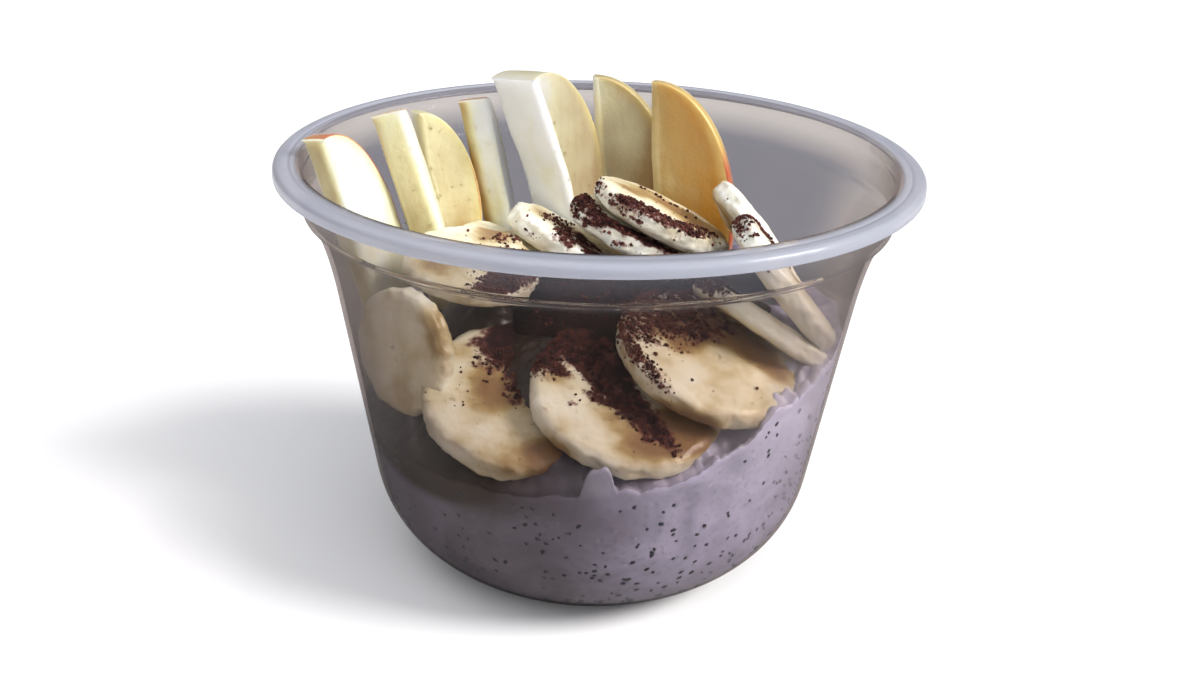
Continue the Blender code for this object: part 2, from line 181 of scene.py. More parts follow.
# Where the cacao was sprinkled, seen from above: x, y, reach across, reach along, turn, how thick
SPRINKLED = (
    (5.0, -8.0, 21.0, 10.0, 0, 1.5), (-11.4, -17.2, 9.4, 5.4, 112, 1.25),
    (-17.5, -14.0, 3.6, 3.2, 20, 0.75), (-19.0, -18.5, 2.0, 3.4, 10, 0.62),
    (-22.0, -15.5, 1.6, 1.4, 20, 0.5), (-21.4, -21.0, 0.6, 0.6, 0, 0.7),
    (-20.8, -28.6, 0.6, 0.5, 0, 0.6), (-14.0, -26.5, 1.4, 2.4, 20, 0.55),
    (1.0, -20.0, 8.5, 4.4, -30, 1.3), (4.4, -29.4, 11.0, 3.0, -46, 1.2),
    (-6.2, -26.0, 3.0, 0.9, -35, 0.75), (0.2, -31.4, 2.2, 0.8, -30, 0.65),
    (-3.4, -33.2, 0.8, 0.5, 0, 0.6), (9.5, -38.6, 0.9, 0.7, 0, 0.75),
    (13.0, -38.5, 3.6, 1.2, -50, 0.5), (10.0, -18.5, 9.0, 4.6, 0, 1.0),
    (19.5, -17.0, 6.0, 3.0, 5, 0.75), (12.0, -25.6, 2.6, 0.7, -10, 0.6),
    (16.0, -25.2, 1.4, 0.6, -10, 0.6), (27.6, -18.6, 1.0, 0.7, 0, 0.75),
    (23.0, -20.0, 0.8, 0.6, 0, 0.6), (-5.6, 10.5, 2.4, 8.0, -10, 0.95),
    (-8.4, 19.0, 2.4, 6.0, -20, 0.55), (-1.6, 10.5, 2.2, 7.0, 10, 0.95),
    (2.8, 4.6, 6.0, 1.8, -12, 0.95), (9.4, 4.4, 2.4, 2.0, 0, 0.6),
    (17.5, 2.6, 5.0, 2.6, 0, 0.9), (20.6, 8.0, 3.4, 3.4, 0, 0.55),
    (14.0, 21.0, 6.0, 0.8, -12, 0.62), (-15.5, 4.6, 4.0, 1.6, 10, 0.55),
    (-19.5, 2.0, 3.0, 1.0, 0, 0.5), (28.4, -6.0, 3.0, 2.4, 0, 0.5),
    (33.5, -5.0, 2.4, 1.6, 0, 0.45), (0.0, -12.0, 32.0, 26.0, 0, 0.12),
)
MOST_POWDER = 1.5

# Lights: name, direction and height in degrees, breadth in degrees, share of the floor's
# brightness, colour
LIGHTS = (
    ("window_right", -13, 38, 24, 0.76, "#fffdfa"),
    ("soft_top", 60, 78, 100, 0.20, "#f8faff"),
    ("front_fill", -62, 34, 60, 0.13, "#fbfbff"),
    ("front_left", -132, 62, 60, 0.22, "#fbfcff"),
    ("left_fill", 195, 48, 70, 0.05, "#f6f9ff"),
)
SKY_COLOUR = "#f0f1f5"
SKY_STRENGTH = 0.26

# Camera fitted to the photo: what it looks at, how far off it is, how far it looks down and leans,
# in degrees
CAMERA_AIM = (0.95, 0.0, 42.68)
CAMERA_AWAY = 256.99
CAMERA_DOWN = 23.8655
CAMERA_LEAN = 1.7304
LENS = 39.47
SENSOR_WIDTH = 36.0


def linear(code):
    """An sRGB hex colour as linear RGBA."""
    parts = [int(code[i:i + 2], 16) / 255 for i in (1, 3, 5)]
    return (*[c / 12.92 if c <= 0.04045 else ((c + 0.055) / 1.055) ** 2.4 for c in parts], 1.0)


def add_node(tree, kind, inputs=None, **settings):
    """Adds a node with its settings, and sets or links its inputs."""
    node = tree.nodes.new(kind)
    for name, value in settings.items():
        setattr(node, name, value)
    for name, value in (inputs or {}).items():
        if isinstance(value, bpy.types.NodeSocket):
            tree.links.new(value, node.inputs[name])
        else:
            node.inputs[name].default_value = value
    return node


def new_material(name):
    """A material with an empty tree, and the tree."""
    material = bpy.data.materials.new(name)
    material.use_nodes = True
    material.node_tree.nodes.clear()
    return material, material.node_tree


def object_places(tree):
    """Where a point of the piece lies, in metres."""
    return add_node(tree, "ShaderNodeTexCoord").outputs["Object"]


def cover(tree, shader):
    """Makes a shader, or the inputs of a plain one, the surface of the material."""
    if isinstance(shader, dict):
        shader = add_node(tree, "ShaderNodeBsdfPrincipled", shader)
    add_node(tree, "ShaderNodeOutputMaterial", {"Surface": shader.outputs[0]})


def mixed(tree, share, first, second):
    """Runs one shader into another by a share."""
    return add_node(tree, "ShaderNodeMixShader", {0: share, 1: first.outputs[0], 2: second.outputs[0]})


def blend(tree, share, first, second):
    """Runs one colour into another by a share; a colour is a hex code or a socket."""
    first, second = (linear(c) if isinstance(c, str) else c for c in (first, second))
    return add_node(tree, "ShaderNodeMix", {0: share, 6: first, 7: second}, data_type="RGBA").outputs[2]


def ranged(tree, value, low, high, start=0.0, end=1.0):
    """A value stretched from low and high to start and end, and held there."""
    reach = {"Value": value, "From Min": low, "From Max": high, "To Min": start, "To Max": end}
    return add_node(tree, "ShaderNodeMapRange", reach).outputs[0]


def calc(tree, operation, *values):
    """A sum of numbers or sockets."""
    return add_node(tree, "ShaderNodeMath", dict(enumerate(values)), operation=operation).outputs[0]


def uneven(tree, value, cloud, strength):
    """A value made uneven by clouds."""
    return calc(tree, "MULTIPLY_ADD", calc(tree, "SUBTRACT", cloud, 0.5), strength, value)


def clouds(tree, place, scale, detail):
    """Soft random clouds, with so many to the metre."""
    cloud = add_node(tree, "ShaderNodeTexNoise", {"Vector": place, "Scale": scale, "Detail": detail})
    return cloud.outputs["Fac"]


def carried(tree, name):
    """A value that the mesh carries from point to point."""
    return add_node(tree, "ShaderNodeAttribute", attribute_name=name).outputs["Fac"]


def relief(tree, height, strength, depth):
    """A fine surface relief of a depth in metres."""
    heights = {"Height": height, "Strength": strength, "Distance": depth}
    return add_node(tree, "ShaderNodeBump", heights).outputs["Normal"]


def ramp(tree, share, stops):
    """A colour read off a row of stops, each a place from 0 to 1 and a hex code."""
    node = add_node(tree, "ShaderNodeValToRGB", {0: share})
    for i, (place, colour) in enumerate(stops):
        stop = node.color_ramp.elements[i] if i < 2 else node.color_ramp.elements.new(place)
        stop.position = place
        stop.color = linear(colour)
    return node.outputs[0]


def smoothstep(low, high, value):
    """A soft rise from 0 at low to 1 at high."""
    share = min(max((value - low) / (high - low), 0.0), 1.0)
    return share * share * (3 - 2 * share)


def hump(value, middle, reach, power=2):
    """A soft hump, 1 at its middle; a higher power makes its top flatter and its sides steeper."""
    return math.exp(-((value - middle) / reach) ** power)


def bezier(start, control, end, steps):
    """Points of a curve from start to end, without its first point."""
    points = []
    for i in range(1, steps + 1):
        t = i / steps
        points.append(tuple(
            (1 - t) ** 2 * a + 2 * t * (1 - t) * b + t * t * c
            for a, b, c in zip(start, control, end)
        ))
    return points


def cup_outside():
    """The outer wall as (radius, height) points, from the foot up to the collar."""
    foot = (FOOT_RADIUS, 0.0)
    points = [foot]
    points += bezier(foot, CORNER_CONTROL, (BODY_LOW_RADIUS, CORNER_HEIGHT), 20)
    rise = 8
    for i in range(1, rise + 1):
        t = i / rise
        points.append((
            BODY_LOW_RADIUS + (BODY_TOP_RADIUS - BODY_LOW_RADIUS) * t,
            CORNER_HEIGHT + (BODY_TOP - CORNER_HEIGHT) * t,
        ))
    points += bezier((BODY_TOP_RADIUS, BODY_TOP), FLARE_CONTROL, (STEP_LOW_RADIUS, STEP_LOW), 12)
    points += [(STEP_HIGH_RADIUS, STEP_HIGH)]
    return points


OUTSIDE = cup_outside() + [(COLLAR_RADIUS, CUP_HEIGHT)]


def wall_radius(height):
    """Radius of the cup's inner wall at a height."""
    for (r0, z0), (r1, z1) in zip(OUTSIDE, OUTSIDE[1:]):
        if z0 <= height <= z1:
            return r0 + (r1 - r0) * (height - z0) / (z1 - z0) - WALL
    return FOOT_RADIUS - WALL


def inward(points):
    """The same line moved in by the wall's thickness, square to the line."""
    moved = []
    for i, (r, z) in enumerate(points):
        before = points[max(i - 1, 0)]
        after = points[min(i + 1, len(points) - 1)]
        along = Vector((after[0] - before[0], after[1] - before[1])).normalized()
        moved.append((r - along.y * WALL, z + along.x * WALL))
    return moved


def softened(points, reach):
    """A line with its corners rounded off, each by a short curve."""
    line = [points[0]]
    for before, corner, after in zip(points, points[1:], points[2:]):
        b, c, a = Vector(before), Vector(corner), Vector(after)
        turn = (c - b).angle(a - c, 0.0)
        if turn < GENTLE_BEND:
            line.append(corner)
            continue
        start = c + (b - c).normalized() * min(reach, (b - c).length * 0.45)
        end = c + (a - c).normalized() * min(reach, (a - c).length * 0.45)
        line.append(tuple(start))
        line += bezier(tuple(start), corner, tuple(end), 4)
    line.append(points[-1])
    return line


def cup_section():
    """The cup's section from the middle of its floor, up inside, over the rim and down outside."""
    outside = cup_outside()
    floor = FOOT_RECESS + WALL
    seat = COLLAR_RADIUS - WALL
    section = [(0.0, floor), (FOOT_RING_RADIUS - 2.0, floor), (FOOT_RING_RADIUS, WALL + 0.1)]
    section += inward(outside)[1:]
    section += [
        (seat - SEAT_LEDGE, CUP_HEIGHT - SEAT_DEPTH - 0.3),
        (seat, CUP_HEIGHT - SEAT_DEPTH),
        (seat, CUP_HEIGHT),
    ]
    section += [(RIM_RADIUS - back, CUP_HEIGHT - down) for back, down in RIM_GROOVE]
    section.append((RIM_RADIUS - RIM_ROUND, CUP_HEIGHT))
    for i in range(1, RIM_SIDES + 1):
        turn = math.radians(90 * (1 - i / RIM_SIDES))
        section.append((
            RIM_RADIUS - RIM_ROUND + RIM_ROUND * math.cos(turn),
            CUP_HEIGHT - RIM_ROUND + RIM_ROUND * math.sin(turn),
        ))
    section += [
        (RIM_RADIUS, CUP_HEIGHT - SKIRT_DROP),
        (RIM_RADIUS - WALL, CUP_HEIGHT - SKIRT_DROP),
        (RIM_RADIUS - WALL, CUP_HEIGHT - WALL - 0.4),
        (RIM_RADIUS - WALL - 0.4, CUP_HEIGHT - WALL),
        (COLLAR_RADIUS, CUP_HEIGHT - WALL),
        (COLLAR_RADIUS, CUP_HEIGHT - SEAT_DEPTH),
    ]
    section += outside[::-1]
    section += [
        (FOOT_RING_RADIUS, 0.0),
        (FOOT_RING_RADIUS - 1.5, FOOT_RECESS),
        (0.0, FOOT_RECESS),
    ]
    return softened(section, CORNER_SOFTNESS)


def spun(section, steps):
    """A closed turned body from a section whose ends lie on the axis."""
    bm = bmesh.new()
    verts = [bm.verts.new((r, 0.0, z)) for r, z in section]
    edges = [bm.edges.new(pair) for pair in zip(verts, verts[1:])]
    bmesh.ops.spin(
        bm, geom=verts + edges, cent=(0, 0, 0), axis=(0, 0, 1),
        angle=math.tau, steps=steps, use_merge=True,
    )
    bmesh.ops.remove_doubles(bm, verts=bm.verts, dist=0.0005)
    bmesh.ops.recalc_face_normals(bm, faces=bm.faces)
    return bm


def into_scene(name, data):
    """An object of the scene that holds a mesh, a light or a camera."""
    thing = bpy.data.objects.new(name, data)
    bpy.context.scene.collection.objects.link(thing)
    return thing


def as_piece(mesh, name, material, nodes=()):
    """Makes a piece of the root body from a mesh; it stands for the named nodes, if there are any."""
    mesh.materials.append(material)
    piece = into_scene(name, mesh)
    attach(piece, "root")
    if nodes:
        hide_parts(*nodes)
    return piece


def finish_piece(bm, name, material, nodes, values, sharp):
    """Turns the bmesh, in millimetres, into a piece with values at its points; sharp is in degrees."""
    bmesh.ops.scale(bm, vec=(MM, MM, MM), verts=bm.verts)
    mesh = bpy.data.meshes.new(name)
    bm.to_mesh(mesh)
    bm.free()
    mesh.shade_smooth()
    mesh.set_sharp_from_angle(angle=math.radians(sharp))
    for label, numbers in values.items():
        numbers = np.asarray(numbers, np.float32)
        if numbers.ndim == 2:
            layer = mesh.attributes.new(label, "FLOAT_VECTOR", "POINT")
            layer.data.foreach_set("vector", numbers.ravel())
        else:
            layer = mesh.attributes.new(label, "FLOAT", "POINT")
            layer.data.foreach_set("value", numbers)
    return as_piece(mesh, name, material, nodes)


def sprinkle(x, y):
    """How thickly the cacao lies over a place seen from above."""
    total = 0.0
    for cx, cy, rx, ry, turn, thick in SPRINKLED:
        c, s = math.cos(math.radians(turn)), math.sin(math.radians(turn))
        dx, dy = x - cx, y - cy
        u, v = (c * dx + s * dy) / rx, (-s * dx + c * dy) / ry
        reach = u * u + v * v
        if reach < 2.2:
            total += thick * (1 - smoothstep(0.35, 2.2, reach))
    return min(total, MOST_POWDER)


def build_cup(material):
    """The thin clear cup, with the slight unevenness of a formed wall."""
    bm = spun(cup_section(), CUP_STEPS)
    milk, painted_back_shade = [], []
    for vert in bm.verts:
        r = math.hypot(vert.co.x, vert.co.y)
        z = vert.co.z
        if r > 1.0:
            sway = noise.noise(Vector((vert.co.x * 0.035, vert.co.y * 0.035, z * 0.03)))
            thin = 1 - 0.003 * (0.5 + 0.5 * sway) * smoothstep(10, 60, z)
            vert.co.x *= thin
            vert.co.y *= thin
        # Milky where the rim is formed, partly a painted reflection of the bright room at a grazing angle;
        # the faint milky line along the step is a painted highlight
        flange_milk_and_reflection = smoothstep(COLLAR_RADIUS - 0.4, COLLAR_RADIUS + 0.6, r) * smoothstep(76.0, 78.5, z)
        foot = 1 - smoothstep(3.0, 16.0, z)
        step_highlight = hump(z, 0.5 * (STEP_LOW + STEP_HIGH), 0.7)
        milk.append(0.60 * flange_milk_and_reflection + 0.02 * foot + 0.05 * step_highlight)
        # Painted shade: the back half of the wall, from above the oats to below the rim, is tinted darker
        behind = smoothstep(-0.1, 0.5, vert.co.y / max(r, 1.0))
        painted_back_shade.append(behind * smoothstep(30.0, 45.0, z) * (1 - 0.8 * smoothstep(71.0, 76.0, z)))
    values = {"milk": milk, "painted_back_shade": painted_back_shade}
    return finish_piece(bm, "cup_wall", material, ["cup"], values, 50)


def wall_level(turn):
    """Height at which the oats meet the wall, in a direction in degrees."""
    for (a0, h0), (a1, h1) in zip(OATS_WALL_LEVELS, OATS_WALL_LEVELS[1:]):
        if a0 <= turn <= a1:
            return h0 + (h1 - h0) * smoothstep(a0, a1, turn)
    return OATS_WALL_LEVELS[0][1]


def oats_height(x, y):
    """The uneven top of the oats: from the wall up to a crown behind the middle."""
    reach = min(math.hypot(x, y) / wall_radius(38.0), 1.0)
    level = wall_level(math.degrees(math.atan2(y, x)))
    away = math.hypot(x - OATS_CROWN_PLACE[0], y - OATS_CROWN_PLACE[1]) / OATS_CROWN_REACH
    crown = OATS_CROWN - OATS_CROWN_FALL * away * away
    near_wall = reach ** 2.6
    ripple = 0.7 * noise.noise(Vector((x * 0.11, y * 0.11, 3.7)))
    off = math.hypot(x - OATS_SWELL_PLACE[0], y - OATS_SWELL_PLACE[1]) / OATS_SWELL_RADIUS
    swell = OATS_SWELL * max(0.0, 1 - off * off) ** 2
    return level * near_wall + (crown + ripple) * (1 - near_wall) + swell


def oats_edge(turn):
    """The ragged line of the oats on the wall, wetter and rougher at the front right."""
    a = math.radians(turn)
    p = Vector((math.cos(a), math.sin(a), 0.0))
    wet = 1 + 1.4 * hump(turn, -42.0, FROTH_SPREAD)
    ragged = 0.9 * noise.noise(p * 6.0) + 0.6 * noise.noise(p * 17.0) + 0.5 * noise.noise(p * 50.0)
    return wall_level(turn) + wet * ragged


def tongue(turn):
    """The narrow smear of pudding that ran up the wall between two slices at the front."""
    return 6.4 * hump(turn, SMEAR_TURN, 3.3, 6) + 1.3 * hump(turn, -83.0, 4.0)


def lump(x, y):
    """Height of the soaked flakes and stirred peaks in the pudding's top."""
    p = Vector((x, y, 0.0))
    flakes = abs(noise.noise(p * 0.42)) * 1.1 + abs(noise.noise(p * 0.9 + Vector((7, 3, 1)))) * 0.5
    return flakes - 0.45 + 0.12 * noise.noise(p * 2.6)


def froth(turn, share, x, y):
    """Wet peaks squeezed up between the right front slices and the wall, with a dip beside them."""
    p = Vector((x * 0.36, y * 0.36, 1.7))
    band = hump(turn, FROTH_TURN, FROTH_SPREAD) * smoothstep(0.84, 0.93, share)
    band *= 1 - smoothstep(0.985, 1.0, share)
    dip = hump(turn, DIP_TURN, 5.0) * smoothstep(0.78, 0.88, share)
    dip *= 1 - smoothstep(0.95, 0.995, share)
    return band * (2.9 * abs(noise.noise(p)) - 0.25 + 0.9 * noise.noise(p * 2.7)) - 2.6 * dip


def build_oats(material):
    """The pudding, out into the wall so that no air shows, with a lumpy top under the fruit."""
    low = FOOT_RECESS + WALL - 0.05
    top = low + 9.0
    # The rows are first stacked a small gap apart, so that a point's height tells its row
    gap = 0.1
    section = [(0.0, low), (FOOT_RADIUS * 0.5, low), (FOOT_RADIUS - 3.0, low)]
    section += [(FOOT_RADIUS + i * 0.01, low + gap + i * gap) for i in range(OATS_WALL_ROWS)]
    rings = range(1, OATS_TOP_ROWS + 1)
    section += [(FOOT_RADIUS * (1 - i / OATS_TOP_ROWS), top + i * gap) for i in rings]
    bm = spun(section, OATS_STEPS)
    for vert in bm.verts:
        x, y, z = vert.co
        r = math.hypot(x, y)
        row = (z - low - gap) / gap
        if row < -0.5:
            continue
        turn = math.degrees(math.atan2(y, x))
        c, s = math.cos(math.radians(turn)), math.sin(math.radians(turn))
        film = tongue(turn)
        level = oats_edge(turn)
        if row < OATS_WALL_ROWS - 0.5:
            share = round(row) / (OATS_WALL_ROWS - 1)
            height = OATS_LOWEST + (level + film - OATS_LOWEST) * share
            reach = wall_radius(height) + OATS_INTO_WALL
            if share < 0.05:
                reach = FOOT_RADIUS - 1.4
            vert.co = (reach * c, reach * s, height)
        else:
            share = r / FOOT_RADIUS
            reach = (wall_radius(level) + OATS_INTO_WALL) * share
            px, py = reach * c, reach * s
            inside = 1 - smoothstep(0.93, 1.0, share)
            height = oats_height(px, py) + (level - wall_level(turn)) * smoothstep(0.8, 1.0, share)
            height += lump(px, py) * inside - 0.5 * inside * smoothstep(0.80, 0.95, share)
            height += film * smoothstep(0.962, 1.0, share) ** 2
            height += froth(turn, share, px, py)
            vert.co = (px, py, height)
    bmesh.ops.recalc_face_normals(bm, faces=bm.faces)
    # Darker at the left, partly soaked in syrup and partly painted shade; painted shade in a pocket
    # beside the first slice and in the dip beside the froth; stained by the cacao under the powder. Pale
    # at the front right, partly froth and partly a painted pool of light with painted highlights, and
    # along the smear
    steeped_and_shaded, pale = [], []
    for vert in bm.verts:
        x, y, z = vert.co
        turn = math.degrees(math.atan2(y, x))
        left = smoothstep(-60, -106, turn) if turn < 0 else smoothstep(120, 170, turn)
        pocket = hump(turn, -136.0, 22.0) * smoothstep(24.0, 31.0, z)
        hollow = hump(turn, DIP_TURN, 4.0) * smoothstep(33.0, 36.0, z) * 0.2
        under = smoothstep(0.2, 1.0, sprinkle(x, y)) * smoothstep(36, 40, z)
        on_top = smoothstep(0.2, 0.8, wall_radius(z) - math.hypot(x, y))
        steeped_and_shaded.append(min(max(left * 0.68 + pocket, under, hollow), 1.0))
        # Pale: painted light, partly froth, at the front right, a little on the wall and most on the top
        # beside the slices; the smear's own paler colour along it
        band = hump(turn, -38.0, FROTH_SPREAD)
        on_wall = 0.2 * smoothstep(20.0, 36.0, z) + 0.15 * smoothstep(36.0, 42.0, z)
        smear = 0.45 * hump(turn, SMEAR_TURN, 4.0, 4) * smoothstep(32.0, 35.0, z)
        pale.append(band * (on_wall + (1.0 - on_wall) * on_top) + smear)
    values = {"steeped_and_shaded": steeped_and_shaded, "pale": pale}
    return finish_piece(bm, "oats_pudding", material, ["oats"], values, 180)


def many(shapes, places, name, material):
    """Copies of small shapes as one joined mesh: each place is (shape number, 3x3 matrix, middle)."""
    points, faces, start = [], [], 0
    for which, turn, middle in places:
        verts, tris = shapes[which]
        points.append(verts @ turn.T + middle)
        faces.append(tris + start)
        start += len(verts)
    points = np.vstack(points) * MM
    faces = np.vstack(faces)
    mesh = bpy.data.meshes.new(name)
    mesh.from_pydata(points.tolist(), [], faces.tolist())
    mesh.shade_smooth()
    return as_piece(mesh, name, material)


def small_shapes(count, detail, stretch, rough, rng):
    """A few uneven pips or crumbs, as arrays of points and triangles."""
    shapes = []
    for _ in range(count):
        bm = bmesh.new()
        bmesh.ops.create_icosphere(bm, subdivisions=detail, radius=0.5)
        shift = Vector(rng.uniform(-50, 50, 3))
        for vert in bm.verts:
            swell = 1 + rough * noise.noise(vert.co * 3.0 + shift)
            vert.co = Vector([part * much for part, much in zip(vert.co, stretch)]) * swell
        bm.verts.index_update()
        verts = np.array([vert.co for vert in bm.verts])
        tris = np.array([[vert.index for vert in face.verts] for face in bm.faces])
        bm.free()
        shapes.append((verts, tris))
    return shapes


def facing(normal, spin):
    """A turn that puts the shape's Z along a normal, after a spin about it."""
    turn = Vector(normal).to_track_quat("Z", "Y").to_matrix() @ Matrix.Rotation(spin, 3, "Z")
    return np.array(turn)


def build_chia(material):
    """Swollen seeds that lie against the wall, thicker in some parts of the stir than in others."""
    rng = np.random.default_rng(41)
    shapes = small_shapes(6, 1, (1.05, 0.76, 0.55), 0.25, rng)
    places = []
    while len(places) < CHIA_SEEDS:
        turn = rng.uniform(-180, 180)
        height = rng.uniform(3.0, 49.0)
        keep = rng.uniform()
        if height > oats_edge(turn) - 0.8:
            continue
        a = math.radians(turn)
        crowd = noise.noise(Vector((math.cos(a) * 3.0, math.sin(a) * 3.0, height * 0.07)))
        if keep > 0.55 + 0.9 * crowd:
            continue
        size = rng.uniform(*CHIA_SIZES)
        reach = wall_radius(height) + OATS_INTO_WALL - 0.15 * size
        normal = (math.cos(a), math.sin(a), -0.12)
        middle = np.array((reach * math.cos(a), reach * math.sin(a), height))
        which = rng.integers(len(shapes))
        places.append((which, facing(normal, rng.uniform(0, math.tau)) * size, middle))
    return many(shapes, places, "chia_seeds", material)


def put(bm, place, turns):
    """Turns the bmesh about the named axes, the last of them first, and moves it to its place."""
    move = Matrix.Translation(place)
    for degrees, axis in turns:
        move = move @ Matrix.Rotation(math.radians(degrees), 4, axis)
    bmesh.ops.transform(bm, matrix=move, verts=bm.verts)


# Amber marks where syrup and ripening have turned the banana brown, and painted shadow where one
# slice lies over another: x, y, z, reach, strength
BROWNED_AND_SHADED = (
    (-19.0, -28.0, 42.5, 5.0, 0.35), (-12.0, -37.0, 36.0, 5.0, 0.5),
    (-6.0, -38.5, 36.0, 6.0, 0.8), (-17.0, -24.0, 43.0, 5.0, 0.45),
    (14.0, -36.0, 41.0, 7.0, 0.95), (8.0, -39.5, 39.0, 6.0, 0.6), (19.0, -36.0, 42.0, 5.0, 0.8),
    (4.0, -33.0, 43.0, 5.0, 0.5), (-6.0, -27.0, 45.0, 4.0, 0.5),
    # Painted shadow along the top of the fourth front slice, under the slice that lies over it
    (21.0, -16.5, 54.0, 7.0, 1.0), (28.0, -19.0, 51.0, 6.0, 0.9), (14.0, -21.0, 53.0, 6.0, 0.7),
    # The last two on this line: painted shadow in the gap between the first two right slices
    (33.0, -24.0, 48.0, 4.0, 0.6), (30.0, -8.0, 56.0, 6.0, 0.8), (37.0, -9.0, 58.0, 6.0, 0.7),
    (-12.0, 3.0, 60.0, 5.0, 0.5), (-20.0, 4.0, 62.0, 5.0, 0.5), (-28.0, -8.0, 61.0, 6.0, 0.4),
    (-10.0, 18.0, 60.0, 8.0, 0.6), (14.0, 20.0, 67.0, 9.0, 0.75), (22.0, 14.0, 62.0, 8.0, 0.8),
    (6.0, 13.0, 67.0, 4.0, 0.7), (2.0, 12.0, 62.0, 5.0, 0.4),
    # The first on this line: painted shade on the side of the first front slice, under the back slices
    (-24.7, -26.5, 54.0, 7.0, 0.6), (-33.0, -24.0, 40.0, 6.0, 0.4),
)


def browning_and_shade(p):
    """How brown the banana is at a point, painted shadow included."""
    total = 0.0
    for x, y, z, reach, strength in BROWNED_AND_SHADED:
        away = (p - Vector((x, y, z))).length / reach
        if away < 1.3:
            total += strength * (1 - smoothstep(0.2, 1.3, away))
    return min(total, 1.0)


def build_banana(entry, material):
    """A soft knife-cut round: rubbed edges, a frayed side, seed pockets and drag lines on its face."""
    name, middle, lean, direction, radius, thickness, oval = entry
    half = thickness / 2
    edge = min(1.7, half * 0.75)
    section = [(0.0, half)]
    rings = range(1, BANANA_FACE_RINGS + 1)
    section += [((radius - edge) * (i / BANANA_FACE_RINGS) ** 0.85, half) for i in rings]
    for i in range(1, BANANA_EDGE_SIDES + 1):
        turn = math.radians(90 * (1 - i / BANANA_EDGE_SIDES))
        section.append((radius - edge + edge * math.cos(turn), half - edge + edge * math.sin(turn)))
    rows = range(1, BANANA_SIDE_ROWS)
    section += [(radius, (half - edge) * (1 - 2 * i / BANANA_SIDE_ROWS)) for i in rows]
    for i in range(BANANA_EDGE_SIDES):
        turn = math.radians(-90 * i / BANANA_EDGE_SIDES)
        section.append((radius - edge + edge * math.cos(turn), -half + edge + edge * math.sin(turn)))
    rings = range(BANANA_BACK_RINGS)
    section += [((radius - edge) * (1 - i / BANANA_BACK_RINGS), -half) for i in rings]
    section.append((0.0, -half))
    bm = spun(section, BANANA_STEPS)
    seed = Vector(middle)
    local = []
    for vert in bm.verts:
        x, y, z = vert.co
        r = math.hypot(x, y)
        turn = math.atan2(y, x)
        share = r / radius
        p = Vector((x, y, z))
        rim = smoothstep(0.84, 1.0, share)
        swell = 1 + oval * math.cos(2 * turn) + 0.012 * math.cos(3 * turn + radius)
        around = Vector((math.cos(turn), math.sin(turn), 0.04 * z))
        wobble = 0.36 * noise.noise(around * 2.6 + seed) + 0.26 * noise.noise(around * 7.0 + seed)
        frayed = 0.34 * noise.noise(p * 0.55 + seed) + 0.20 * noise.noise(p * 1.3 + seed)
        fibre = 0.09 * noise.noise(around * 24.0 + seed)
        chipped = -0.55 * smoothstep(0.2, 0.6, noise.noise(p * 0.42 + seed * 0.7)) * abs(z) / half
        r_new = swell * r + (wobble + frayed + fibre + chipped) * rim
        face = (1 - smoothstep(0.95, 1.0, share)) * (1 if z > 0 else -1)
        dome = -0.26 * share ** 3
        drag = 0.07 * noise.noise(Vector((x * 0.25, y * 1.6, 0.0)) + seed)
        wave = 0.26 * noise.noise(p * 0.24 + seed) + 0.09 * noise.noise(p * 0.9 + seed)
        pocket = -0.24 * hump(share, 0.17, 0.09) * (0.5 + 0.5 * math.cos(3 * turn + 0.6))
        lift = (dome + drag + wave + pocket) * face
        local.append((x / radius, y / radius, z / half))
        vert.co = (r_new * math.cos(turn), r_new * math.sin(turn), z + lift)
    put(bm, seed, ((direction, "Z"), (lean, "Y")))
    bm.normal_update()
    brown, dust = [], []
    ripeness, caught = BANANA_LOOKS[name]
    for vert in bm.verts:
        up = smoothstep(-0.1, 0.75, vert.normal.z)
        brown.append(min(browning_and_shade(vert.co) + ripeness, 1.25))
        dust.append(sprinkle(vert.co.x, vert.co.y) * up * caught)
    values = {"cut": local, "browned_and_shaded": brown, "dusted": dust}
    return finish_piece(bm, name + "_slice", material, [name], values, 75)


def rounding(depth, reach):
    """How far a rounded edge stands back at a depth below the face."""
    if depth >= reach:
        return 0.0
    return reach - math.sqrt(max(reach * reach - (reach - depth) ** 2, 0.0))


